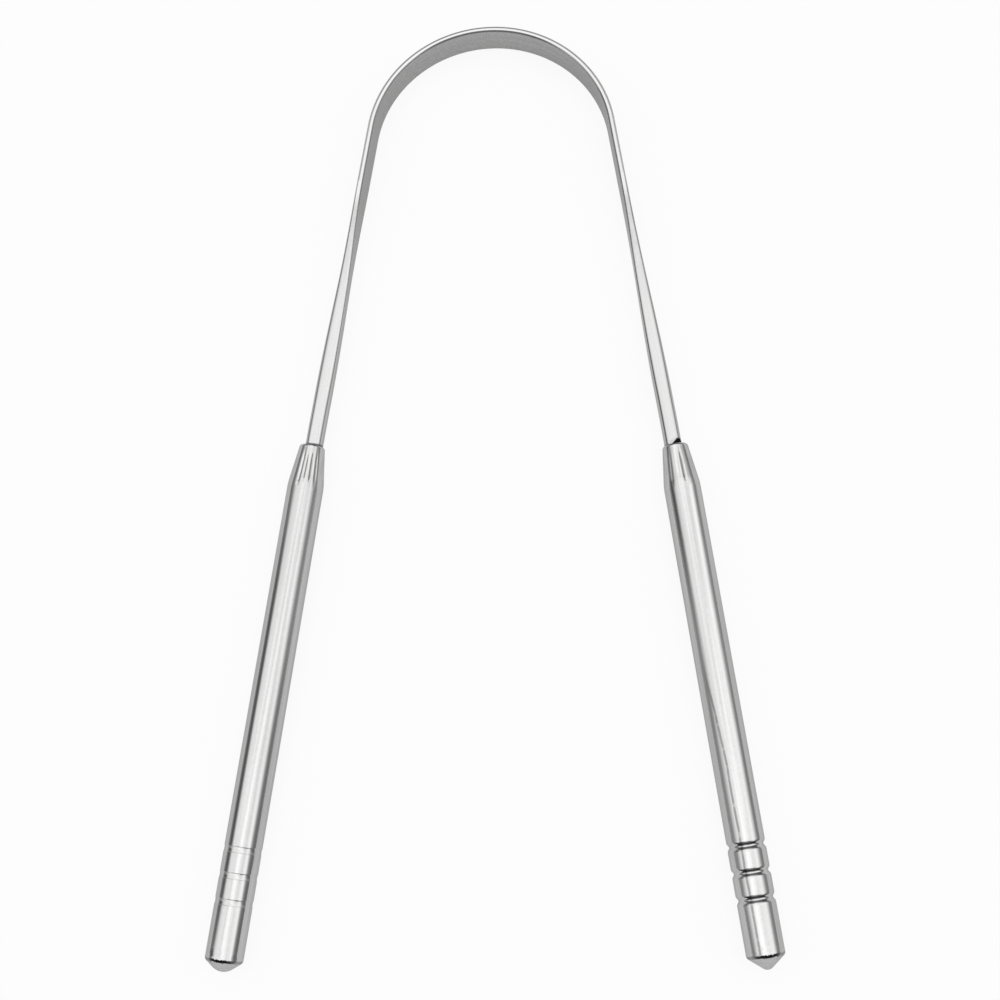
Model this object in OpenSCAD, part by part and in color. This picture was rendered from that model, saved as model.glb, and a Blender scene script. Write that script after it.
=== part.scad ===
// Tongue scraper. A steel wire is rolled flat in its middle, so that it stands on
// edge as a blade, and bent to a U. Its two ends go into thin steel tubes, which
// are necked down and crimped on the wire and serve as handles. Nothing turns or
// slides: squeezing the handles only springs the bow.
// The part lies flat on its handles, arch toward +Y, handles toward -Y, up is +Z.
// The origin is under the middle of the whole part, on the surface it lies on.

/* [Blade] */
// Thickness of the blade
blade_t = 1.05; // [0.8:0.05:1.3]
// Depth of the blade, from one scraping edge to the other
blade_d = 6.0; // [5:0.1:7]
// Radius of the arch, to the middle of the blade
arch_r = 21.2; // [18:0.2:24]
// Full blade on each side of the top of the arch, along the wire
blade_len = 40; // [32:1:46]

/* [Wire] */
// Width of the rounded square wire at the handles, over its flats
wire_w = 2.8; // [2.6:0.05:3]
// Corner radius of the wire
wire_corner = 1.0; // [0.8:0.05:1.2]
// Unrolled wire that shows in front of each handle
plain_len = 8; // [4:1:12]
// Wire inside each handle, past the mouth
grip_len = 10; // [8:1:14]
// Chamfer on the cut ends of the wire
wire_chamfer = 0.3; // [0.2:0.05:0.4]

/* [Legs] */
// Length of each leg, from the arch to where the handle begins
leg_len = 58.4; // [50:0.2:66]
// Lean of each leg from straight, in degrees
leg_angle = 8.9; // [6:0.1:12]
// Lean of each handle from straight, in degrees
handle_angle = 8.0; // [6:0.1:12]
// Length of the gentle bend from one lean to the other, in front of the mouth
bend_len = 6; // [4:1:10]

/* [Handle tubes] */
// Outer diameter of the tubes
tube_d = 6.0; // [5.8:0.1:6.6]
// Wall of the tubes
tube_wall = 0.4; // [0.3:0.05:0.5]
// Length of the left handle, from its mouth to its closed end
left_len = 84.9; // [76:0.1:96]
// Length of the right handle, from its mouth to its closed end
right_len = 83.4; // [76:0.1:96]
// How far the left handle sits up the wire, and the right one down it
crimp_shift = 0.5; // [0:0.1:1]

/* [Neck] */
// Length of the neck, from the mouth to the full diameter of the tube
neck_len = 6.8; // [5.5:0.1:8]
// Stretch of the neck that grips the wire
crimp_len = 2.6; // [2.2:0.1:3.4]
// Thinnest wall of the neck at its mouth
neck_wall = 0.27; // [0.2:0.01:0.35]
// Radius of the turned-in lip of the mouth
lip_r = 0.5; // [0.4:0.1:0.9]
// Room between the corners of the wire and the bore of the neck
wire_room = 0.035; // [0.02:0.005:0.08]
// How far the wire sits off the middle of the tube, toward the inside of the U
seat_shift = 0.28; // [0.1:0.02:0.3]
// Number of wrinkles that the crimping leaves round the neck
flutes = 10; // [6:1:12]
// Depth of a wrinkle
flute_depth = 0.12; // [0.06:0.01:0.16]
// Radius of the round bottom of a wrinkle
flute_r = 0.45; // [0.35:0.05:0.6]
// Radius of the blend from the neck to the tube
neck_blend_r = 12; // [8:1:14]

/* [Rolled grooves] */
// Number of grooves rolled into each handle
grooves = 3; // [1:1:5]
// Distance from the last groove to the closed end
groove_end = 10.5; // [8:0.5:14]
// Distance from one groove to the next
groove_pitch = 4; // [3:0.1:4]
// Width of a groove in the right handle
groove_w = 2.2; // [1.6:0.1:2.6]
// Depth of a groove in the right handle
groove_depth = 0.34; // [0.2:0.02:0.46]
// Width of a groove in the left handle, where the rolls hardly bit
light_groove_w = 1.0; // [0.6:0.1:1.4]
// Depth of a groove in the left handle
light_groove_depth = 0.07; // [0.04:0.01:0.1]

/* [Closed end] */
// Radius of the shoulder where the tube turns in
shoulder_r = 0.8; // [0.6:0.1:1.2]
// Slope of the cone behind the shoulder, in degrees from the tube's side
end_slope = 52; // [46:1:56]
// Radius of the nose of the left handle
left_nose_r = 2.6; // [1.6:0.1:2.8]
// Radius of the nose of the right handle
right_nose_r = 1.2; // [1:0.1:2.8]

/* [Hidden] */
$fn = 96;

// Share of the blade's thickness that rounds each corner of its section
edge_round_share = 0.48;
// Length by which cuts run out of what they cut
overrun = 1;
// Room round the wire where the neck opens into the tube
cavity_room = 0.06;
// Form of a groove's bottom: a larger value is narrower, a smaller one flatter
groove_form = 3;
light_groove_form = 0.25;

// Steps of the swept bow: half the arch, a leg, a bend and a section's corner
arc_steps = 30;
leg_steps = 24;
bend_steps = 3;
corner_steps = 6;
// Steps of the turned handle: a groove and an arc of the outline
groove_steps = 14;
turn_steps = 8;

deep_groove = [groove_w, groove_depth, groove_form];
light_groove = [light_groove_w, light_groove_depth, light_groove_form];
tube_r = tube_d / 2;
middle_z = max(tube_r, blade_d / 2);
bore_in_r = tube_r - tube_wall;
wire_reach = sqrt(2) * (wire_w / 2 - wire_corner) + wire_corner;
bore_r = wire_reach + wire_room;
mouth_r = bore_r + seat_shift + neck_wall;
cavity_r = bore_r + seat_shift + cavity_room;
neck_slope = atan((tube_r - mouth_r) / (neck_len - lip_r));
blend_reach = neck_blend_r * tan(neck_slope / 2);

arc_turn = 90 - leg_angle;
bend_turn = leg_angle - handle_angle;
arc_len = arch_r * arc_turn * PI / 180;
bend_s = arc_len + leg_len - bend_len;
mouth_s = arc_len + leg_len;
end_s = mouth_s + grip_len;
taper_len = mouth_s - plain_len - blade_len;

function ease(x) = let (c = min(max(x, 0), 1)) c * c * (3 - 2 * c);
function blend(a, b, k) = a + (b - a) * k;
function ahead(point, heading, step) = point + step * [cos(heading), -sin(heading)];

// The wire's middle line, for one half. s is the length along it from the top of
// the arch, and a heading is in degrees, clockwise from +X.
arc_end = arch_r * [sin(arc_turn), cos(arc_turn)];
bend_start = ahead(arc_end, arc_turn, leg_len - bend_len);
mouth = ahead(bend_start, arc_turn + bend_turn / 2, bend_len);

function bend_share(s) = min(max((s - bend_s) / bend_len, 0), 1);
function heading_at(s) = min(s / arc_len, 1) * arc_turn + bend_turn * bend_share(s);
function middle_at(s) =
    s <= arc_len ? arch_r * [sin(heading_at(s)), cos(heading_at(s))]
    : s <= bend_s ? ahead(arc_end, arc_turn, s - arc_len)
    : s <= mouth_s ? ahead(bend_start, arc_turn + bend_turn * bend_share(s) / 2, s - bend_s)
    : ahead(mouth, arc_turn + bend_turn, s - mouth_s);

// Outward direction, across the wire in the plane of the U.
function outward(heading) = [sin(heading), cos(heading)];

// Section of the wire: a rectangle, across by deep, with round corners.
function section(across, deep, corner) = [
    for (quarter = [0:3])
        for (i = [0:corner_steps])
            let (
                a = 90 * (quarter + i / corner_steps),
                x_side = quarter == 0 || quarter == 3 ? 1 : -1,
                z_side = quarter < 2 ? 1 : -1
            )
            [
                x_side * (across / 2 - corner) + corner * cos(a),
                z_side * (deep / 2 - corner) + corner * sin(a)
            ]
];

// The section changes from the blade to the wire over the taper, and the cut
// ends are chamfered.
function section_at(s) =
    let (
        k = ease((s - blade_len) / taper_len),
        cut = max(s - (end_s - wire_chamfer), 0)
    )
    section(
        blend(blade_t, wire_w, k) - 2 * cut,
        blend(blade_d, wire_w, k) - 2 * cut,
        blend(blade_t * edge_round_share, wire_corner, k) - cut
    );

// One ring of points. s is negative on the left half, which mirrors the right.
function ring(s) =
    let (
        side = s < 0 ? -1 : 1,
        p = middle_at(abs(s)),
        n = outward(heading_at(abs(s)))
    )
    [for (q = section_at(abs(s))) [side * (p.x + n.x * q.x), p.y + n.y * q.x, q.y]];

half_stations = concat(
    [for (i = [0:arc_steps]) arc_len * i / arc_steps],
    [for (i = [1:leg_steps]) blend(arc_len, bend_s, i / leg_steps)],
    [for (i = [1:bend_steps]) blend(bend_s, mouth_s, i / bend_steps)],
    [end_s - wire_chamfer, end_s]
);
stations = concat(
    [for (i = [len(half_stations) - 1:-1:1]) -half_stations[i]],
    half_stations
);

// Skin over a row of rings, each with the same number of points.
module skin(rings) {
    count = len(rings[0]);
    last = len(rings) - 1;
    sides = [
        for (i = [0:last - 1])
            for (j = [0:count - 1])
                let (
                    a = i * count + j,
                    b = i * count + (j + 1) % count,
                    c = b + count,
                    d = a + count
                )
                each [[a, d, c], [a, c, b]]
    ];
    first_cap = [[for (j = [0:count - 1]) j]];
    last_cap = [[for (j = [count - 1:-1:0]) last * count + j]];
    polyhedron([for (r = rings) each r], concat(sides, first_cap, last_cap), 4);
}

// Outline of a handle, as radius and distance from the mouth. The inner skin
// follows the outer one at the tube's wall, also under the grooves. A groove is
// given as its width, its depth and its form.
function arc_points(radius, at, from, to) = [
    for (i = [0:turn_steps])
        let (a = blend(from, to, i / turn_steps))
        [at.x + radius * cos(a), at.y + radius * sin(a)]
];
function groove_points(skin_r, at, groove) = [
    for (i = [0:groove_steps])
        let (
            x = sin(180 * i / groove_steps - 90),
            depth = groove[1] * pow((1 + cos(180 * x)) / 2, groove[2])
        )
        [skin_r - depth, at + groove[0] / 2 * x]
];
function all_grooves(skin_r, end_at, groove) = [
    for (i = [grooves - 1:-1:0])
        each groove_points(skin_r, end_at - groove_end - groove_pitch * i, groove)
];
function closed_end(wall, end_at, nose_r) =
    let (
        nose_at = end_at - nose_r,
        cone_r = tube_r - shoulder_r * (1 - cos(end_slope)),
        cone_len = (cone_r - nose_r * cos(end_slope)) / tan(end_slope),
        shoulder_at = nose_at + (nose_r - shoulder_r) * sin(end_slope) - cone_len
    )
    concat(
        arc_points(shoulder_r - wall, [tube_r - shoulder_r, shoulder_at], 0, end_slope),
        arc_points(nose_r - wall, [0, nose_at], end_slope, 90)
    );
function reversed(list) = [for (i = [len(list) - 1:-1:0]) list[i]];

function outer_outline(end_at, nose_r, groove) = concat(
    [[0, 0]],
    arc_points(lip_r, [mouth_r - lip_r, lip_r], -90, 0),
    arc_points(neck_blend_r, [tube_r - neck_blend_r, neck_len + blend_reach], -neck_slope, 0),
    all_grooves(tube_r, end_at, groove),
    closed_end(0, end_at, nose_r)
);
function inner_outline(end_at, nose_r, groove) = concat(
    [[0, crimp_len], [cavity_r, crimp_len], [bore_in_r, neck_len]],
    all_grooves(bore_in_r, end_at, groove),
    closed_end(tube_wall, end_at, nose_r)
);

// One wrinkle of the crimped neck, a round-bottomed groove along its slope.
module flute_cut() {
    translate([mouth_r + flute_r - flute_depth, 0, lip_r])
        rotate([0, neck_slope, 0])
            translate([0, 0, -lip_r])
                cylinder(r = flute_r, h = neck_len + lip_r + overrun);
}

// A handle along +Z, with its mouth at the origin and the U's inside toward -X.
module handle_tube(end_at, nose_r, groove) {
    difference() {
        rotate_extrude()
            polygon(concat(
                outer_outline(end_at, nose_r, groove),
                reversed(inner_outline(end_at, nose_r, groove))
            ));
        translate([-seat_shift, 0, -overrun])
            cylinder(r = bore_r, h = crimp_len + 2 * overrun);
        for (i = [0:flutes - 1])
            rotate([0, 0, 360 * (i + 0.5) / flutes])
                flute_cut();
    }
}

// Middle of a handle's mouth, at a distance down the wire from the end of the leg,
// and the shift that puts the origin under the middle of the whole part.
end_turn = arc_turn + bend_turn;
function handle_mouth(down) = ahead(mouth, end_turn, down) + seat_shift * outward(end_turn);
function handle_end(down, end_at) = ahead(handle_mouth(down), end_turn, end_at);
top_y = arch_r + blade_t / 2;
bottom_y = min(handle_end(-crimp_shift, left_len).y, handle_end(crimp_shift, right_len).y);
middle_y = (top_y + bottom_y) / 2;

module place_handle(down) {
    at = handle_mouth(down);
    translate([at.x, at.y - middle_y, middle_z])
        rotate([0, 0, handle_angle])
            rotate([90, 0, 0])
                children();
}

module scraper_bow() {
    color("gainsboro")
        translate([0, -middle_y, middle_z])
            skin([for (s = stations) ring(s)]);
}

module right_handle() {
    color("silver")
        place_handle(crimp_shift)
            handle_tube(right_len, right_nose_r, deep_groove);
}

module left_handle() {
    color("silver")
        mirror([1, 0, 0])
            place_handle(-crimp_shift)
                handle_tube(left_len, left_nose_r, light_groove);
}

scraper_bow();
left_handle();
right_handle();
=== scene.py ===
# %% [markdown]
# # A tongue scraper of polished steel
#
# The real object is three pieces of steel. One wire is rolled flat in its middle and
# bent to a U, and its two ends are crimped into thin tubes, which are the handles.
# The construction comes in as a fixed frame, at its real size. This lesson makes the
# looks: each piece is modelled again with a finer skin, and then gets its finish.

# %% Load the frame
import math

import bmesh
import bpy
from mathutils import Matrix, Vector


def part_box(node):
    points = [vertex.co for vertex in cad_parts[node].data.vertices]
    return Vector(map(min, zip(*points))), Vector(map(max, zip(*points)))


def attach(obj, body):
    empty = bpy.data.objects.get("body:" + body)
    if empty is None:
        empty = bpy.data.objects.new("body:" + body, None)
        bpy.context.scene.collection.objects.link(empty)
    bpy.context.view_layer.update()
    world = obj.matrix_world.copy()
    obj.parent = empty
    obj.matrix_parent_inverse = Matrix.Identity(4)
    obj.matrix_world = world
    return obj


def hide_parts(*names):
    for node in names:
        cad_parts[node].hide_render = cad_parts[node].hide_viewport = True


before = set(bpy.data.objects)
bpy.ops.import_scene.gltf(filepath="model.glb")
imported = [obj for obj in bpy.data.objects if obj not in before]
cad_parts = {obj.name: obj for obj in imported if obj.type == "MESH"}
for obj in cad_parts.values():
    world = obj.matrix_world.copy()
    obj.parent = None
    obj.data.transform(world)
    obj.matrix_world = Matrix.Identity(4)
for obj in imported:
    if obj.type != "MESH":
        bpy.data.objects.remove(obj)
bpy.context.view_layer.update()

MM = 0.001
print("frame nodes:", sorted(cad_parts))

# %% [markdown]
# ## Sizes
#
# A maker works from a drawing, so the sizes come first. What the frame can tell is
# measured on it: the diameter of the tubes, the depth of the blade and the top of the
# arch. The other values are the sizes on the drawing, in millimetres and degrees. A
# profile is the bevel's own measure of a corner: 0.5 is round, and less is flatter.

# %% Sizes of the wire
tube_low, tube_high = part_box("right_handle")
bow_low, bow_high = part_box("scraper_bow")

tube_d = (tube_high[2] - tube_low[2]) / MM
blade_d = (bow_high[2] - bow_low[2]) / MM
arch_top = bow_high[1] / MM
middle_z = max(tube_d, blade_d) / 2

blade_t = 1.05
blade_round = 0.27 * blade_t
blade_profile = 0.28
blade_len = 40
arch_r = 21.2
leg_len = 58.4
leg_angle = 8.9
handle_angle = 8.0
bend_len = 6

wire_w = 2.8
wire_round = 1.0
wire_profile = 0.5
plain_len = 8
grip_len = 10
wire_chamfer = 0.3
crimp_shift = 0.5

arc_turn = 90 - leg_angle
arc_len = math.radians(arc_turn) * arch_r
mouth_s = arc_len + leg_len
end_s = mouth_s + grip_len
print(f"tube {tube_d:.2f} mm, blade {blade_d:.2f} mm deep, wire {2 * end_s:.1f} mm long")

# %% [markdown]
# ## Modelling by hand, from code
#
# An operator works on what is selected, just as it does for a hand on the mouse. The
# mesh could also be written as lists of points, but then nobody could follow the work
# in the window. So a few small helpers do what the hand does: take one object, open it
# for editing, pick vertices by their place, extrude, and apply a modifier.

# %% Hands
def take(obj):
    bpy.ops.object.select_all(action="DESELECT")
    obj.select_set(True)
    bpy.context.view_layer.objects.active = obj


def open_mesh(obj):
    take(obj)
    bpy.ops.object.mode_set(mode="EDIT")
    bpy.ops.mesh.select_all(action="SELECT")


def close_mesh():
    bpy.ops.object.mode_set(mode="OBJECT")


def settle(obj):
    take(obj)
    bpy.ops.object.transform_apply(location=True, rotation=True, scale=True)


def name_new(name):
    obj = bpy.context.object
    obj.name = name
    obj.data.name = name
    settle(obj)
    return obj


def pick(test):
    shape = bmesh.from_edit_mesh(bpy.context.edit_object.data)
    for part in (*shape.verts, *shape.edges, *shape.faces):
        part.select = False
    for vertex in shape.verts:
        vertex.select = bool(test(vertex))
    shape.select_mode = {"VERT"}
    shape.select_flush_mode()
    bmesh.update_edit_mesh(bpy.context.edit_object.data)


def extrude_by(x=0.0, y=0.0):
    bpy.ops.mesh.extrude_region_move(TRANSFORM_OT_translate={"value": (x * MM, y * MM, 0)})


def face_outwards(obj):
    open_mesh(obj)
    bpy.ops.mesh.normals_make_consistent(inside=False)
    close_mesh()


def apply_modifier(obj, name, kind, **settings):
    take(obj)
    modifier = obj.modifiers.new(name, kind)
    for key, value in settings.items():
        setattr(modifier, key, value)
    bpy.ops.object.modifier_apply(modifier=modifier.name)


# %% [markdown]
# ## The wire, still straight
#
# A mill rolls the round-cornered wire flat while it is straight, and a former bends it
# afterwards. The model goes the same way, because a straight bar is easy to measure.
# The blade and the plain wire are two bars. Each starts as a flat plane with its corners
# bevelled and is extruded along x, from the top of the arch toward the handle. The wire
# ends in a small chamfer where it was cut.

# %% Two bars
corner_cuts = 6
blade_steps = 80
wire_steps = 12


def section_plane(name, at, across, deep, corner, profile):
    bpy.ops.object.select_all(action="DESELECT")
    upright = (0, math.pi / 2, 0)
    bpy.ops.mesh.primitive_plane_add(size=1, location=(at * MM, 0, 0), rotation=upright)
    obj = name_new(name)
    open_mesh(obj)
    bpy.ops.transform.resize(value=(1, across * MM, deep * MM), center_override=(at * MM, 0, 0))
    bpy.ops.mesh.bevel(offset=corner * MM, segments=corner_cuts, profile=profile, affect="VERTICES")
    return obj


def extrude_steps(length, steps):
    for _ in range(steps):
        extrude_by(x=length / steps)


blade_bar = section_plane("blade_bar", 0, blade_t, blade_d, blade_round, blade_profile)
extrude_steps(blade_len, blade_steps)
close_mesh()

wire_bar = section_plane("wire_bar", mouth_s - plain_len, wire_w, wire_w, wire_round, wire_profile)
extrude_steps(plain_len + grip_len - wire_chamfer, wire_steps)
extrude_by(x=wire_chamfer)
end_share = 1 - 2 * wire_chamfer / wire_w
bpy.ops.transform.resize(value=(1, end_share, end_share), center_override=(end_s * MM, 0, 0))
close_mesh()
print("blade bar:", len(blade_bar.data.vertices), "vertices, wire bar:", len(wire_bar.data.vertices))

# %% [markdown]
# Between the bars the section changes from a thin upright blade to a rounded square.
# Both bars have the same number of corners, so a bridge with many cuts makes all the
# sections between them at once. The faces across the bars' ends go first. The one at
# the top of the arch goes too, because the other half will join on there.

# %% Bridge the bars
taper_cuts = 40
near = 0.001 * MM

take(wire_bar)
blade_bar.select_set(True)
bpy.context.view_layer.objects.active = blade_bar
bpy.ops.object.join()
bow = bpy.context.object
bow.name = "bow"

taper_from = blade_len * MM
taper_to = (mouth_s - plain_len) * MM
open_mesh(bow)
for place in (0, taper_from, taper_to):
    pick(lambda v: abs(v.co.x - place) < near)
    bpy.ops.mesh.delete(type="ONLY_FACE")
pick(lambda v: min(abs(v.co.x - taper_from), abs(v.co.x - taper_to)) < near)
bpy.ops.mesh.bridge_edge_loops(number_cuts=taper_cuts, interpolation="LINEAR", profile_shape_factor=0)
print("taper from", round(taper_from / MM, 1), "to", round(taper_to / MM, 1), "mm")

# %% [markdown]
# The bridge changes its sections evenly, which gives a taper that starts and ends with a
# kink. Rolling leaves a soft start and end, and toward the handle the blade loses its
# depth sooner than it gains thickness. So each section is resized to what two eased
# curves say, and the one for the depth is over half way along.

# %% Resize the sections
depth_run_share = 0.5


def eased(share):
    share = min(share, 1)
    return share * share * (3 - 2 * share)


def between(blade_size, share):
    return blade_size + (wire_w - blade_size) * share


cuts = {}
for vertex in bmesh.from_edit_mesh(bow.data).verts:
    cut = round((vertex.co.x - taper_from) / (taper_to - taper_from) * (taper_cuts + 1))
    if 0 < cut <= taper_cuts:
        cuts.setdefault(cut, set()).add(vertex.index)
for cut, members in sorted(cuts.items()):
    pick(lambda v: v.index in members)
    share = cut / (taper_cuts + 1)
    thinner = between(blade_t, eased(share)) / between(blade_t, share)
    lower = between(blade_d, eased(share / depth_run_share)) / between(blade_d, share)
    bpy.ops.transform.resize(value=(1, thinner, lower), center_override=(0, 0, 0))
close_mesh()
print("taper:", len(cuts), "sections of", {len(members) for members in cuts.values()}, "vertices")

# %% [markdown]
# The other half is a mirror image. Before the bar is bent, every vertex writes down its
# place on the straight wire, in millimetres: along it, across it and up. The polish
# lines of the finish run along the wire, so they read this and follow the bend.

# %% Mirror the half and note the straight places
def note_places(obj, place_of):
    places = obj.data.attributes.new("place", "FLOAT_VECTOR", "POINT")
    for vertex, place in zip(obj.data.vertices, places.data):
        place.vector = place_of(vertex.co / MM)


apply_modifier(bow, "other half", "MIRROR", use_axis=(True, False, False), merge_threshold=near)
face_outwards(bow)
note_places(bow, lambda p: p)
print("straight bow:", len(bow.data.vertices), "vertices,", round(bow.dimensions.x / MM, 2), "mm long")

# %% [markdown]
# ## Bending the wire
#
# A curve is the former. The bend could be worked out vertex by vertex, but a Curve
# modifier does the same as the bending tool does, and the former can be looked at. One
# half is drawn first: a single vertex at the top of the arch, spun round the middle of
# the arch, and extruded along the leg. A gentle bend just in front of the handle turns
# the leg's lean into the handle's.

# %% Draw half of the former
arch_steps = 120
bend_steps = 6
bend_turn = leg_angle - handle_angle
arch_middle = arch_top - arch_r - blade_t / 2


def one_vertex(name, x, y):
    bpy.ops.object.select_all(action="DESELECT")
    bpy.ops.mesh.primitive_plane_add(size=MM, location=(x * MM, y * MM, 0))
    obj = name_new(name)
    open_mesh(obj)
    bpy.ops.mesh.merge(type="CENTER")
    return obj


def extrude_ahead(turn, length):
    extrude_by(x=length * math.cos(math.radians(turn)), y=-length * math.sin(math.radians(turn)))


former = one_vertex("former", 0, arch_middle + arch_r)
bpy.ops.mesh.spin(
    steps=arch_steps, angle=math.radians(arc_turn), center=(0, arch_middle * MM, 0), axis=(0, 0, 1))
extrude_ahead(arc_turn, leg_len - bend_len)
for step in range(bend_steps):
    extrude_ahead(arc_turn + bend_turn * (step + 0.5) / bend_steps, bend_len / bend_steps)
extrude_ahead(arc_turn + bend_turn, grip_len)
close_mesh()
wire_end = min(former.data.vertices, key=lambda v: v.co.y).co.copy()
print("wire end at", [round(v / MM, 2) for v in wire_end])

# %% [markdown]
# The mirrored drawing becomes a curve. The modifier lays the bar from the curve's first
# point on, so the curve has to start at the left leg, and the bar is first slid to
# start at zero.

# %% Lay the bar along the former
apply_modifier(former, "other half", "MIRROR", use_axis=(True, False, False), merge_threshold=near)
take(former)
bpy.ops.object.convert(target="CURVE")
former = bpy.context.object
former.data.dimensions = "2D"
if former.data.splines[0].points[0].co.x > 0:
    bpy.ops.object.mode_set(mode="EDIT")
    bpy.ops.curve.select_all(action="SELECT")
    bpy.ops.curve.switch_direction()
    bpy.ops.object.mode_set(mode="OBJECT")
print("former:", [len(spline.points) for spline in former.data.splines], "points")

open_mesh(bow)
bpy.ops.transform.translate(value=(end_s * MM, 0, 0))
close_mesh()
apply_modifier(bow, "bend", "CURVE", object=former, deform_axis="POS_X")
bow.location.z = middle_z * MM
settle(bow)
bpy.data.objects.remove(former)
low = Vector([min(v.co[i] for v in bow.data.vertices) for i in range(3)]) / MM
high = Vector([max(v.co[i] for v in bow.data.vertices) for i in range(3)]) / MM
print("bent bow from", [round(v, 2) for v in low], "to", [round(v, 2) for v in high])

# %% [markdown]
# ### A nick at the right mouth
#
# The right tube was pressed on askew, and its mouth has nicked the outer top corner of
# the wire. The nick is a small slanting flat that runs down under the mouth. A cube is
# placed with one face on that flat, and a Boolean cuts it away. The faces that it leaves
# are marked, so that the finish can paint them black: painted shade in the nick.

# %% Nick in the wire
nick_slope = math.radians(42)
nick_turn = math.radians(-42)
nick_reach = 1.1
cutter_size = 3.0
mark_reach = 2
same_way = 0.99

handle_turn = math.radians(arc_turn + bend_turn)
outward = Vector((math.sin(handle_turn), math.cos(handle_turn), 0))
ahead = Vector((math.cos(handle_turn), -math.sin(handle_turn), 0))
leg_end = Vector((wire_end.x, wire_end.y, 0)) - ahead * grip_len * MM
right_mouth = leg_end + ahead * crimp_shift * MM
corner_top = right_mouth + (outward * wire_w / 2 + Vector((0, 0, middle_z + wire_w / 2))) * MM

downhill = Vector((math.cos(nick_turn), math.sin(nick_turn), 0))
level_line = Vector((-downhill.y, downhill.x, 0))
nick_up = Matrix.Rotation(nick_slope, 3, level_line) @ Vector((0, 0, 1))
on_flat = corner_top - downhill * nick_reach * MM
bpy.ops.object.select_all(action="DESELECT")
bpy.ops.mesh.primitive_cube_add(
    size=cutter_size * MM, location=on_flat + nick_up * (cutter_size / 2) * MM,
    rotation=(0, nick_slope, nick_turn))
cutter = name_new("nick_cutter")
apply_modifier(bow, "nick", "BOOLEAN", operation="DIFFERENCE", solver="EXACT", object=cutter)
bpy.data.objects.remove(cutter)

nicked = bow.data.attributes.new("nicked", "FLOAT", "FACE")
for face, mark in zip(bow.data.polygons, nicked.data):
    close_by = (face.center - corner_top).length < mark_reach * MM
    mark.value = 1.0 if close_by and face.normal.dot(nick_up) > same_way else 0.0
print("bow with its nick:", len(bow.data.vertices), "vertices,",
      sum(mark.value > 0 for mark in nicked.data), "faces marked")

# %% [markdown]
# Flat faces have to stay flat in a mirror finish. Smooth shading alone bends the light
# near the rounded corners, so weighted normals let the big flat faces decide.

# %% Shade the bow
sharp_angle = math.radians(40)
flat_weight = 80


def shade(obj):
    take(obj)
    bpy.ops.object.shade_smooth_by_angle(angle=sharp_angle)
    apply_modifier(obj, "flat faces", "WEIGHTED_NORMAL", weight=flat_weight, keep_sharp=True)


shade(bow)
print("bow is shaded, and flat faces weigh", flat_weight)

# %% [markdown]
# ## The handle
#
# The tube is drawn steel. One end is necked down and crimped on the wire, three grooves
# are rolled in near the other end, and that end is spun closed. On the left handle the
# rolls hardly bit, so its grooves are only light marks, and its nose is rounder. A
# groove's form is the power that its curve is raised to: more makes it narrower at the
# bottom.

# %% Sizes of the handle
tube_r = tube_d / 2
neck_len = 6.8
neck_wall = 0.27
lip_r = 0.5
wire_room = 0.035
seat_shift = 0.28
neck_blend_r = 12
grooves = 3
groove_end = 10.5
groove_pitch = 4
shoulder_r = 0.8
end_slope = 52
handle_sizes = {
    "right_tube": {"length": 83.4, "nose": 1.2, "down": crimp_shift,
                   "groove": {"width": 2.2, "depth": 0.34, "form": 3}},
    "left_tube": {"length": 84.9, "nose": 2.6, "down": -crimp_shift,
                  "groove": {"width": 1.0, "depth": 0.07, "form": 0.25}},
}

wire_reach = math.sqrt(2) * (wire_w / 2 - wire_round) + wire_round
bore_r = wire_reach + wire_room
mouth_r = bore_r + seat_shift + neck_wall
neck_slope = math.degrees(math.atan((tube_r - mouth_r) / (neck_len - lip_r)))
blend_reach = neck_blend_r * math.tan(math.radians(neck_slope / 2))
print(f"bore radius {bore_r:.2f} mm, mouth {mouth_r:.2f} mm, neck slopes {neck_slope:.1f} degrees")

# %% [markdown]
# A lathe shape is drawn as one outline and spun round its axis. The outline is worked
# out from arcs, straight lines and groove curves, as pairs of a radius and a distance
# from the mouth. Every stretch has its own number of steps, so the spun skin is fine
# where it curves and coarse where it is straight.

# %% Stretches of the outline
outline_steps = {"lip": 10, "neck": 12, "blend": 8, "tube": 10, "ring": 3, "groove": 28,
                 "end": 4, "shoulder": 12, "nose": 10}


def arc(radius, at_r, at_u, start, stop, steps):
    turns = [math.radians(start + (stop - start) * i / steps) for i in range(steps + 1)]
    return [(at_r + radius * math.cos(turn), at_u + radius * math.sin(turn)) for turn in turns]


def straight(start, stop, steps):
    return [tuple(a + (b - a) * i / steps for a, b in zip(start, stop)) for i in range(1, steps)]


def groove_curve(middle, groove):
    steps = outline_steps["groove"]
    points = []
    for i in range(steps + 1):
        x = math.sin(math.pi * (i / steps - 0.5))
        sunk = groove["depth"] * ((1 + math.cos(math.pi * x)) / 2) ** groove["form"]
        points.append((tube_r - sunk, middle + groove["width"] / 2 * x))
    return points


print("grooves sink", [sizes["groove"]["depth"] for sizes in handle_sizes.values()], "mm")

# %% [markdown]
# The closed end is a small round shoulder, a cone and a round nose. Where the shoulder
# starts is worked out backwards from the tube's full length, so the length stays right
# when the nose changes.

# %% Whole outline
def shoulder_start(sizes):
    slope = math.radians(end_slope)
    nose_r = sizes["nose"]
    cone_r = tube_r - shoulder_r * (1 - math.cos(slope))
    cone_len = (cone_r - nose_r * math.cos(slope)) / math.tan(slope)
    return sizes["length"] - nose_r + (nose_r - shoulder_r) * math.sin(slope) - cone_len


def closed_end(sizes):
    nose_r = sizes["nose"]
    shoulder = arc(shoulder_r, tube_r - shoulder_r, shoulder_start(sizes),
                   0, end_slope, outline_steps["shoulder"])
    return shoulder + arc(nose_r, 0, sizes["length"] - nose_r, end_slope, 90, outline_steps["nose"])


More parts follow.
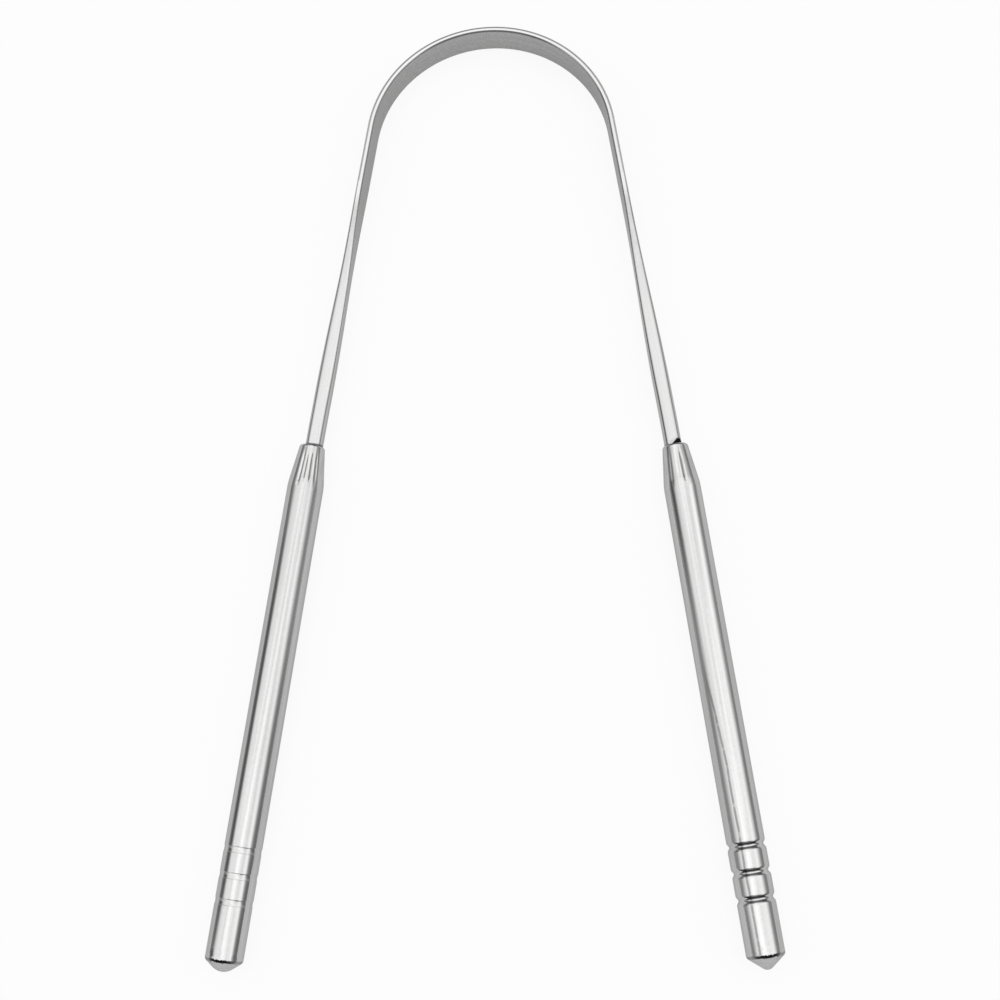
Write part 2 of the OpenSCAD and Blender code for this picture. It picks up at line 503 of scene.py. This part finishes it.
def handle_outline(sizes):
    lip = arc(lip_r, mouth_r - lip_r, lip_r, -90, 0, outline_steps["lip"])
    blend = arc(neck_blend_r, tube_r - neck_blend_r, neck_len + blend_reach,
                -neck_slope, 0, outline_steps["blend"])
    points = [(0.0, 0.0)] + lip + straight(lip[-1], blend[0], outline_steps["neck"]) + blend
    steps = outline_steps["tube"]
    for i in range(grooves - 1, -1, -1):
        bottom = groove_curve(sizes["length"] - groove_end - groove_pitch * i, sizes["groove"])
        points += straight(points[-1], bottom[0], steps) + bottom
        steps = outline_steps["ring"]
    end = closed_end(sizes)
    return points + straight(points[-1], end[0], outline_steps["end"]) + end


for name, sizes in handle_sizes.items():
    print(name, "outline:", len(handle_outline(sizes)), "points")

# %% [markdown]
# The outline is drawn vertex by vertex with extrude, from the mouth to the nose, and the
# spin turns it round y. The first and last column of the spin lie on each other, and so
# do the points on the axis, so doubles are merged before the faces are turned outwards.

# %% Spin the handles
spin_steps = 120
same_point = 0.0001
weld = 0.002


def lathe(name, points):
    obj = one_vertex(name, points[0][0], -points[0][1])
    for (r0, u0), (r1, u1) in zip(points, points[1:]):
        if math.hypot(r1 - r0, u1 - u0) > same_point:
            extrude_by(x=r1 - r0, y=u0 - u1)
    bpy.ops.mesh.select_all(action="SELECT")
    bpy.ops.mesh.spin(steps=spin_steps, angle=2 * math.pi, center=(0, 0, 0), axis=(0, 1, 0))
    bpy.ops.mesh.select_all(action="SELECT")
    bpy.ops.mesh.remove_doubles(threshold=weld * MM)
    close_mesh()
    face_outwards(obj)
    return obj


tubes = {name: lathe(name, handle_outline(sizes)) for name, sizes in handle_sizes.items()}
for name, tube in tubes.items():
    print(name, "skin:", len(tube.data.vertices), "vertices")

# %% [markdown]
# ### Crimp marks
#
# The crimping jaws fold the neck into small sharp wrinkles. No two are alike, so each has
# its own place round the neck, in degrees, and its share of the depth. A wrinkle is
# pressed in by scaling its columns of vertices toward the axis, the middle column most
# and its neighbours less. It is deepest half way down the neck and ends where the neck
# meets the tube. A bump in the material could show it too, but not on the outline.

# %% Places of the wrinkles
wrinkle_depth = 0.18
column_shares = [1.0, 0.45, 0.08]
wrinkles = {
    "right_tube": [(12, 0.5), (42, 0.3), (81, 1.0), (99, 0.4), (123, 0.2), (147, 0.3), (176, 0.6),
                   (206, 0.4), (236, 0.8), (262, 0.5), (287, 0.7), (318, 0.4), (345, 0.6)],
    "left_tube": [(9, 0.4), (45, 0.3), (75, 0.8), (90, 0.7), (111, 0.9), (129, 0.3), (150, 0.3),
                  (178, 0.5), (204, 0.7), (233, 0.4), (258, 0.8), (284, 0.6), (311, 0.4),
                  (338, 0.6)],
}
neck_bands = [(0.15, 0.9, 0.1), (0.9, 1.7, 0.3), (1.7, 2.6, 0.7), (2.6, 5.2, 1.0),
              (5.2, 6.1, 0.85), (6.1, 6.8, 0.6), (6.8, 7.5, 0.3)]
print("wrinkles:", {name: len(places) for name, places in wrinkles.items()})

# %% [markdown]
# The neck is pressed in bands. Each band is a stretch along the tube, from and to, with
# the share of the depth that it gets. The tube is still a closed skin here, so pressing
# comes before the bore is cut, and only the outside is moved.

# %% Press the wrinkles
column = 360 / spin_steps


def turn_of(vertex):
    return math.degrees(math.atan2(vertex.co.z, vertex.co.x)) % 360


def apart(a, b):
    return abs((a - b + 180) % 360 - 180)


def press_wrinkle(turn, depth_share):
    centre = round(turn / column) * column
    for step, column_share in enumerate(column_shares):
        for band_from, band_to, band_share in neck_bands:
            depth = wrinkle_depth * depth_share * column_share * band_share
            pick(lambda v: band_from <= -v.co.y / MM < band_to
                 and abs(apart(turn_of(v), centre) - step * column) < column / 4)
            squeeze = 1 - depth / mouth_r
            bpy.ops.transform.resize(value=(squeeze, 1, squeeze), center_override=(0, 0, 0))


for name, tube in tubes.items():
    open_mesh(tube)
    for turn, depth_share in wrinkles[name]:
        press_wrinkle(turn, depth_share)
    close_mesh()
    print(name, "is pressed", len(wrinkles[name]), "times")

# %% [markdown]
# ### The bore
#
# The wire sits a little off the middle of the tube, toward the inside of the U. A
# Boolean cuts the bore with a cylinder in that place, so the lip is thick on one side
# and thin on the other. The tubes write down their places too, here measured along from
# the shoulder of the closed end.

# %% Cut the bore
bore_extra = 1
bore_len = grip_len + bore_extra
bore_sides = 96

bpy.ops.object.select_all(action="DESELECT")
bpy.ops.mesh.primitive_cylinder_add(
    vertices=bore_sides, radius=bore_r * MM, depth=2 * bore_len * MM,
    location=(-seat_shift * MM, 0, 0), rotation=(math.pi / 2, 0, 0))
drill = name_new("drill")
for name, tube in tubes.items():
    apply_modifier(tube, "bore", "BOOLEAN", operation="DIFFERENCE", solver="EXACT", object=drill)
    shoulder = shoulder_start(handle_sizes[name])
    note_places(tube, lambda p: Vector((-p.y - shoulder, p.x, p.z)))
    print(name, "with its bore:", len(tube.data.vertices), "vertices,", len(tube.data.polygons), "faces")
bpy.data.objects.remove(drill)

# %% [markdown]
# ### Two handles
#
# Both tubes were made at the origin. Each is turned to its lean and moved to the end of
# its leg, and the left one is mirrored as well. A mirrored mesh is inside out, so its
# normals are turned back.

# %% Place both handles
handle_start = leg_end + outward * seat_shift * MM + Vector((0, 0, middle_z * MM))

for name, tube in tubes.items():
    tube.rotation_euler.z = math.radians(handle_angle)
    tube.location = handle_start + ahead * handle_sizes[name]["down"] * MM
    print(name, "mouth at", [round(v / MM, 3) for v in tube.location])
    settle(tube)

left_tube, right_tube = tubes["left_tube"], tubes["right_tube"]
left_tube.scale.x = -1
settle(left_tube)
face_outwards(left_tube)
for tube in tubes.values():
    shade(tube)

# %% [markdown]
# ## Shader maths
#
# A finish is a sum over textures. Written as nodes it is hard to read, so one small
# class lets a socket stand in a Python expression, and each sign adds its Math node.

# %% Sockets in expressions
class Signal:
    def __init__(self, nodes, socket):
        self.nodes = nodes
        self.socket = socket

    def math(self, operation, *others):
        values = dict(enumerate((self, *others)))
        return self.nodes.add("ShaderNodeMath", {"operation": operation}, values)

    def reflected(self, operation, other):
        return self.nodes.add("ShaderNodeMath", {"operation": operation}, {0: other, 1: self})

    def __add__(self, other):
        return self.math("ADD", other)

    def __sub__(self, other):
        return self.math("SUBTRACT", other)

    def __mul__(self, other):
        return self.math("MULTIPLY", other)

    def __truediv__(self, other):
        return self.math("DIVIDE", other)

    def __rsub__(self, other):
        return self.reflected("SUBTRACT", other)

    def __rtruediv__(self, other):
        return self.reflected("DIVIDE", other)

    __radd__ = __add__
    __rmul__ = __mul__


# %% [markdown]
# Every other node comes from one method. It takes the node's type, its settings, and
# the values or links of its sockets, and gives back the output that is asked for. The
# few kinds that a finish needs again and again have a short method of their own. Smooth
# runs softly from 0 to 1 between two values, fade runs back, and band comes and goes.

# %% Nodes of a material
class Nodes:
    def __init__(self, owner):
        owner.use_nodes = True
        self.tree = owner.node_tree
        self.tree.nodes.clear()

    def add(self, kind, settings=None, values=None, out=0):
        node = self.tree.nodes.new(kind)
        for name, value in (settings or {}).items():
            if name == "stops":
                self.set_stops(node.color_ramp, value)
            else:
                setattr(node, name, value)
        for name, value in (values or {}).items():
            if isinstance(value, Signal):
                self.tree.links.new(value.socket, node.inputs[name])
            else:
                node.inputs[name].default_value = value
        return Signal(self, node.outputs[out]) if node.outputs else node

    def set_stops(self, ramp, stops):
        while len(ramp.elements) < len(stops):
            ramp.elements.new(1.0)
        for element, (place, level) in zip(ramp.elements, stops):
            element.position = place
            element.color = (level, level, level, 1)

    def smooth(self, value, start, stop):
        return self.add("ShaderNodeMapRange", {"interpolation_type": "SMOOTHSTEP"},
                        {"Value": value, "From Min": start, "From Max": stop})

    def fade(self, value, start, stop):
        return 1 - self.smooth(value, start, stop)

    def band(self, value, start, full, leave, stop):
        return self.smooth(value, start, full) * self.fade(value, leave, stop)

    def noise(self, vector, scale=1.0, detail=2.0, roughness=0.5):
        return self.add("ShaderNodeTexNoise", {"noise_dimensions": "3D"},
                        {"Vector": vector, "Scale": scale, "Detail": detail, "Roughness": roughness})

    def stretched(self, vector, along, across):
        return self.add("ShaderNodeMapping", {"vector_type": "POINT"},
                        {"Vector": vector, "Scale": (along, across, across)})

    def split(self, vector):
        return [self.add("ShaderNodeSeparateXYZ", None, {0: vector}, axis) for axis in "XYZ"]


# %% [markdown]
# ## Polished steel
#
# Steel is a metal, so its colour is its reflection. The base colour is what a drawn and
# polished steel sends back of a white light, about half. Polishing runs along the wire
# and the tube and leaves fine lines, so a noise that is stretched that way bends the
# surface a little. Waves are counted per millimetre, along and across, and heights are
# in millimetres. A matt value is what something adds to the roughness.

# %% Steel and its polish
steel_tone = (0.48, 0.48, 0.478)
edge_tint = (0.7, 0.7, 0.7, 1)
fine_waves = (0.05, 5.0)
streak_waves = (0.025, 1.6)
swell_waves = (0.02, 0.7)
speck_waves = 2.5
fine_share = 0.25
streak_share = 0.55
speck_share = 0.2
grain_span = (0.36, 0.64)
line_height = 0.0012
line_matt = 0.10
speck_matt = 0.06


def start_steel(name):
    material = bpy.data.materials.new(name)
    nodes = Nodes(material)
    place = nodes.add("ShaderNodeAttribute", {"attribute_name": "place"}, out="Vector")
    return material, nodes, place


def polish(nodes, place):
    lines = nodes.noise(nodes.stretched(place, *fine_waves), detail=3.0, roughness=0.6)
    streaks = nodes.noise(nodes.stretched(place, *streak_waves), roughness=0.6)
    waves = nodes.noise(nodes.stretched(place, *swell_waves), detail=1.0)
    specks = nodes.noise(place, speck_waves, detail=3.0, roughness=0.6)
    grain = lines * fine_share + streaks * streak_share + specks * speck_share
    grain = nodes.smooth(grain, *grain_span) - 0.5
    specks = specks - 0.5
    return lines, waves, specks, grain, (lines - 0.5) * line_matt + specks * speck_matt


def finish_steel(nodes, level, roughness, height):
    colour = nodes.add("ShaderNodeVectorMath", {"operation": "SCALE"}, {0: steel_tone, "Scale": level})
    bump = nodes.add("ShaderNodeBump", None, {"Height": height, "Strength": 1.0, "Distance": MM})
    shader = nodes.add("ShaderNodeBsdfPrincipled", None, {
        "Base Color": colour, "Metallic": 1.0, "Roughness": roughness,
        "Specular Tint": edge_tint, "Normal": bump})
    nodes.add("ShaderNodeOutputMaterial", None, {"Surface": shader})


# %% [markdown]
# The rolled faces of the blade are more matt and a little darker than the drawn wire,
# and their long edges were polished brighter again. The finish tells them apart by the
# noted places: how far along the wire, and how near the top or bottom edge. The nick and
# the wire where it goes into the mouths are painted black: painted shade.

# %% Finish of the wire
rolled_to = 38
drawn_from = 66
edge_depth = 0.35
edge_rim = 0.05
edge_gain = 0.12
face_loss = 0.17
face_specks = 0.35
wire_grain = 0.10
wire_wave = 0.004
wire_matt = 0.16
face_matt = 0.12
painted_shade_matt = 0.4
seam_width = 0.22
right_seam_gap = 0.08
left_seam_gap = 0.12
nick_shade = 0.95
right_mouth_shade = 0.45
left_mouth_shade = 0.75


def wire_steel():
    material, nodes, place = start_steel("wire_steel")
    along, across, up = nodes.split(place)
    lines, waves, specks, grain, uneven = polish(nodes, place)
    nicked = nodes.add("ShaderNodeAttribute", {"attribute_name": "nicked"}, out="Fac")
    rolled = nodes.fade(along.math("ABSOLUTE"), rolled_to, drawn_from)
    edge = nodes.smooth(up.math("ABSOLUTE"), blade_d / 2 - edge_depth, blade_d / 2 - edge_rim)
    face = rolled * (1 - edge)

    right_full = mouth_s + crimp_shift - right_seam_gap
    left_full = mouth_s - crimp_shift - left_seam_gap
    right_seam = nodes.smooth(along, right_full - seam_width, right_full)
    left_seam = nodes.smooth(0 - along, left_full - seam_width, left_full)
    # Painted shade: the wire is darkened where it goes into each mouth, and the nick's faces are painted
    # black.
    painted_shade = (right_seam * right_mouth_shade).math("MAXIMUM", left_seam * left_mouth_shade)
    painted_shade = painted_shade.math("MAXIMUM", nicked * nick_shade)

    level = 1 + grain * wire_grain + rolled * edge * edge_gain
    level = level + face * (specks * face_specks - face_loss)
    roughness = uneven + face * face_matt + painted_shade * painted_shade_matt + wire_matt
    finish_steel(nodes, level * (1 - painted_shade), roughness, lines * line_height + waves * wire_wave)
    return material


# %% [markdown]
# Along each tube runs a painted dark reflection line, on the side toward the other handle,
# with a painted highlight stripe beside it. A line this fine would be lost in the mesh, so
# it is a darker stretch of the finish. Its place is an angle round the tube, in radians
# from the top. It wanders, it breaks off here and there, and on the right tube it comes up
# from the flank half way down.

# %% Painted reflection line and highlight
line_turn = -0.37
line_rise = 0.25
line_run = 16
line_lead = 2
line_full = 6
line_core_share = 0.4
line_wander = 0.14
wander_waves = (0.13, 0.0)
break_waves = (0.7, 0.0)
break_span = (0.20, 0.50)
highlight_turn = -0.17
highlight_reach = 0.12
highlight_core_share = 0.25


def reflection_marks(nodes, place, turn, along, line_width, line_from):
    wander = (nodes.noise(nodes.stretched(place, *wander_waves)) - 0.5) * line_wander
    breaks = nodes.smooth(nodes.noise(nodes.stretched(place, *break_waves)), *break_span)
    rise = nodes.smooth(along, line_from, line_from + line_run) * line_rise - line_rise
    off_line = (turn - line_turn - rise - wander).math("ABSOLUTE")
    dark_reflection_line = nodes.fade(off_line, line_width * line_core_share, line_width) * breaks
    dark_reflection_line = dark_reflection_line * nodes.smooth(along, line_from - line_lead, line_from + line_full)
    off_highlight = (turn - highlight_turn).math("ABSOLUTE")
    return dark_reflection_line, nodes.fade(off_highlight, highlight_reach * highlight_core_share, highlight_reach)


# %% [markdown]
# Where the end is spun closed, a ragged black line is painted at the start of the
# shoulder, blackest on top: a painted dark reflection. A noise on the distance makes its
# edge ragged. The steel beside it is slightly dented from the spinning.

# %% Painted dark reflection at the closed end
shoulder_reflection_len = 0.52
shoulder_reflection_edge = 0.10
shoulder_reflection_ragged = 0.6
ragged_waves = 2.4
shoulder_reflection_side = 0.40
shoulder_reflection_top = 0.56
top_span = (2.2, 2.8)
dent_waves = 1.1
dent_span = (-1.5, 0.2)
dent_height = 0.10


def shoulder_reflection_and_dents(nodes, place, along, up):
    ragged = along + (nodes.noise(place, ragged_waves) - 0.5) * shoulder_reflection_ragged
    shoulder_reflection = nodes.band(ragged, 0.0, shoulder_reflection_edge, shoulder_reflection_len - shoulder_reflection_edge, shoulder_reflection_len)
    shoulder_reflection = shoulder_reflection * (nodes.smooth(up, *top_span) * shoulder_reflection_top + shoulder_reflection_side)
    dents = nodes.noise(place, dent_waves, detail=1.0) * nodes.smooth(along, *dent_span)
    return shoulder_reflection, dents * dent_height


# %% [markdown]
# Both tubes have the same steel, but not the same marks, so each gets a material of its
# own. On the left tube the line is fainter and runs the whole length.

# %% Finish of the tubes
tube_grain = 0.20
tube_wave = 0.022
tube_matt = 0.12
shoulder_reflection_matt = 0.3
marks_end_span = (-0.1, 0.3)


def tube_steel(name, line_width, line_share, line_from, highlight_gain):
    material, nodes, place = start_steel(name)
    along, across, up = nodes.split(place)
    lines, waves, specks, grain, uneven = polish(nodes, place)
    turn = across.math("ARCTAN2", up)
    before_end = nodes.fade(along, *marks_end_span)
    dark_reflection_line, painted_highlight = reflection_marks(nodes, place, turn, along, line_width, line_from)
    dark_reflection_line = dark_reflection_line * before_end
    painted_highlight = painted_highlight * before_end
    shoulder_reflection, dents = shoulder_reflection_and_dents(nodes, place, along, up)

    # Painted light: the painted highlight stripe brightens the level, and the painted dark reflection line
    # darkens it.
    level = (1 + grain * tube_grain + painted_highlight * highlight_gain) * (1 - dark_reflection_line * line_share)
    roughness = uneven + shoulder_reflection * shoulder_reflection_matt + tube_matt
    height = lines * line_height + waves * tube_wave + dents
    # The painted dark reflection at the shoulder darkens the level here.
    finish_steel(nodes, level * (1 - shoulder_reflection), roughness, height)
    return material


right_steel = tube_steel(
    "right_tube_steel", line_width=0.085, line_share=0.50, line_from=-44, highlight_gain=0.09)
left_steel = tube_steel(
    "left_tube_steel", line_width=0.12, line_share=0.10, line_from=-100, highlight_gain=0.035)
for piece, finish in ((bow, wire_steel()), (right_tube, right_steel), (left_tube, left_steel)):
    piece.data.materials.clear()
    piece.data.materials.append(finish)
    print(piece.name, "is finished in", finish.name)

# %% [markdown]
# ## Light
#
# A mirror shows its surroundings, so the light is painted as a sky of directions. Lamps
# would light the steel as well, but each would show in it as a hard bright shape. The
# sky's base is a dome that is dim near the horizon and bright overhead, and the dim part
# gives the tubes their two dark lines. Overhead runs a thin grey rail with a brighter
# strip beside it. Both are straight lines on a flat ceiling, so the direction is divided
# by its height first. A span is where a change starts and ends.

# %% Dome and ceiling rail
rail_lean = 2.242
rail_shift = 0.277
rail_dim = 0.1
rail_gain = 0.12
rail_line_span = (0.03, 0.14)
rail_glow_band = (0.08, 0.16, 0.35, 0.7)
lowest = 0.05

world = bpy.context.scene.world or bpy.data.worlds.new("studio")
bpy.context.scene.world = world
sky = Nodes(world)
direction = sky.add("ShaderNodeTexCoord", None, None, "Generated")
east, north, up = sky.split(direction)
dome = sky.add("ShaderNodeValToRGB", {"stops": [
    (0.0, 0.30), (0.05, 0.22), (0.12, 0.19), (0.24, 0.20), (0.36, 0.27),
    (0.47, 0.50), (0.58, 0.82), (0.68, 1.0), (1.0, 1.0)]}, {"Fac": up})

ceiling = up.math("MAXIMUM", lowest)
rail = east / ceiling - (north / ceiling) * rail_lean + rail_shift
rail_line = sky.fade(rail.math("ABSOLUTE"), *rail_line_span)
rail_glow = sky.band(rail, *rail_glow_band)
ceiling_level = 1 - rail_line * rail_dim + rail_glow * rail_gain
print("the sky has a dome and a ceiling rail")

# %% [markdown]
# The rest of the studio is at the sides. The west is dimmer half way up, and the north
# from the ground to high up. On the camera's side, in the south, the room is dark.

# %% Dim sides of the studio
west_dim = 0.2
west_side_span = (0.2, 0.8)
west_height_band = (0.25, 0.5, 0.58, 0.92)
north_dim = 0.6
north_side_span = (0.5, 0.85)
north_height_span = (0.60, 0.86)
south_side_span = (0.45, 0.8)
south_height_span = (0.78, 0.95)
south_rise_span = (0.32, 0.56)
south_rise = 0.26
south_base = 0.05
least_reach = 0.0001

flat_reach = (east * east + north * north).math("SQRT").math("MAXIMUM", least_reach)
west_part = sky.smooth((0 - east) / flat_reach, *west_side_span) * sky.band(up, *west_height_band)
north_part = sky.smooth(north / flat_reach, *north_side_span) * sky.fade(up, *north_height_span)
south_part = sky.smooth((0 - north) / flat_reach, *south_side_span) * sky.fade(up, *south_height_span)
south_level = sky.smooth(up, *south_rise_span) * south_rise + south_base
print("the studio has three dim sides")

# %% [markdown]
# Lower down the east and the west are not the same, and they change from south to north.
# As the two handles lean apart, each reflects another part of them, which is why their
# dark lines differ. The west also has a darker wall, a little to the north.

# %% Low east and low west
low_height_span = (0.40, 0.60)
low_side_span = (0.5, 0.8)
east_change = 0.5
east_change_span = (-0.22, 0.05)
west_gain = 0.35
west_gain_span = (0.0, 0.04)
wall_dim = 0.6
wall_band = (0.03, 0.07, 0.27, 0.33)
wall_height_span = (0.12, 0.26)

low_part = sky.fade(up, *low_height_span)
east_low = sky.smooth(east, *low_side_span) * low_part
east_lift = (sky.smooth(north, *east_change_span) - 0.5) * east_change
west_low = sky.smooth(0 - east, *low_side_span) * low_part
west_wall = sky.band(north, *wall_band) * sky.smooth(up, *wall_height_span)
west_lift = sky.fade(north, *west_gain_span) * west_gain - west_wall * wall_dim
print("the low east and the low west differ")

# %% [markdown]
# All parts are multiplied into one level, and the dark south is mixed in last. The top
# level is above 1, because the steel sends back only half of what it gets.

# %% Level of the sky
top_level = 1.68

level = dome * ceiling_level * (east_low * east_lift + west_low * west_lift + 1)
level = level * (1 - west_part * west_dim) * (1 - north_part * north_dim)
level = level * top_level * (1 - south_part) + south_part * south_level
background = sky.add("ShaderNodeBackground", None, {"Color": (1, 1, 1, 1), "Strength": level})
sky.add("ShaderNodeOutputWorld", None, {"Surface": background})
print("sky:", len(sky.tree.nodes), "nodes")

# %% [markdown]
# ## Floor
#
# The photograph has a plain white ground with hardly a shadow. The floor is a pale matt
# sheet. Brighter light would thin the shadow too, but it would change the steel as well.
# So for the camera most of the floor's light is a glow at white level, in the steel's
# reflections somewhat less of it is, and for all other light it is only the sheet.

# %% Floor
floor_size = 6
floor_gap = 0.02
floor_colour = (0.80, 0.80, 0.80, 1)
seen_glow = 0.90
mirrored_glow = 0.6

bpy.ops.object.select_all(action="DESELECT")
bpy.ops.mesh.primitive_plane_add(size=floor_size, location=(0, 0, -floor_gap * MM))
floor = name_new("floor")
sheet = bpy.data.materials.new("pale_sheet")
nodes = Nodes(sheet)
seen = nodes.add("ShaderNodeLightPath", out="Is Camera Ray")
glossy = nodes.add("ShaderNodeLightPath", out="Is Glossy Ray")
through = nodes.add("ShaderNodeLightPath", out="Is Transmission Ray")
glow_share = seen * seen_glow + (glossy + through).math("MINIMUM", 1.0) * mirrored_glow
matt = nodes.add("ShaderNodeBsdfDiffuse", None, {"Color": floor_colour})
glow = nodes.add("ShaderNodeEmission", None, {"Color": (1, 1, 1, 1), "Strength": 1.0})
mixed = nodes.add("ShaderNodeMixShader", None, {0: glow_share, 1: matt, 2: glow})
nodes.add("ShaderNodeOutputMaterial", None, {"Surface": mixed})
floor.data.materials.append(sheet)
print("floor:", floor_size, "m wide")

# %% [markdown]
# ## Camera
#
# The camera stands almost straight above the scraper, a little toward the handles and
# to the right. Its place was worked out from the outline of the object in the picture.

# %% Camera
image_px = 1000
focal_px = 1450
sensor_mm = 36
clip_near = 10
elevation = math.radians(76.58)
side = math.radians(3.36)
roll = math.radians(-0.139)
distance = 239.1
target = Vector((1.332, -5.528, 3.0))

back = Vector((math.sin(side), -math.cos(elevation) * math.cos(side), math.sin(elevation) * math.cos(side)))
back.normalize()
level_right = (-back).cross(Vector((0, 1, 0))).normalized()
level_up = level_right.cross(-back)
right = level_right * math.cos(roll) + level_up * math.sin(roll)
upward = level_up * math.cos(roll) - level_right * math.sin(roll)
eye = (target + back * distance) * MM

lens = bpy.data.cameras.new("camera")
lens.sensor_width = sensor_mm
lens.lens = focal_px / image_px * sensor_mm
lens.clip_start = clip_near * MM
camera = bpy.data.objects.new("camera", lens)
axes = Matrix((right, upward, back)).transposed()
camera.matrix_world = Matrix.Translation(eye) @ axes.to_4x4()
bpy.context.collection.objects.link(camera)
bpy.context.scene.camera = camera
bpy.context.scene.view_settings.view_transform = "Standard"
print(f"camera: {lens.lens:.1f} mm lens, {distance:.0f} mm away")

# %% [markdown]
# ## Hand over
#
# Every piece rides on the one body of the object and stands for its node of the frame.

# %% Pieces, nodes and slots
for piece, node, slot in ((bow, "scraper_bow", "bow_steel"),
                          (left_tube, "left_handle", "handle_steel"),
                          (right_tube, "right_handle", "handle_steel")):
    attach(piece, "root")
    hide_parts(node)
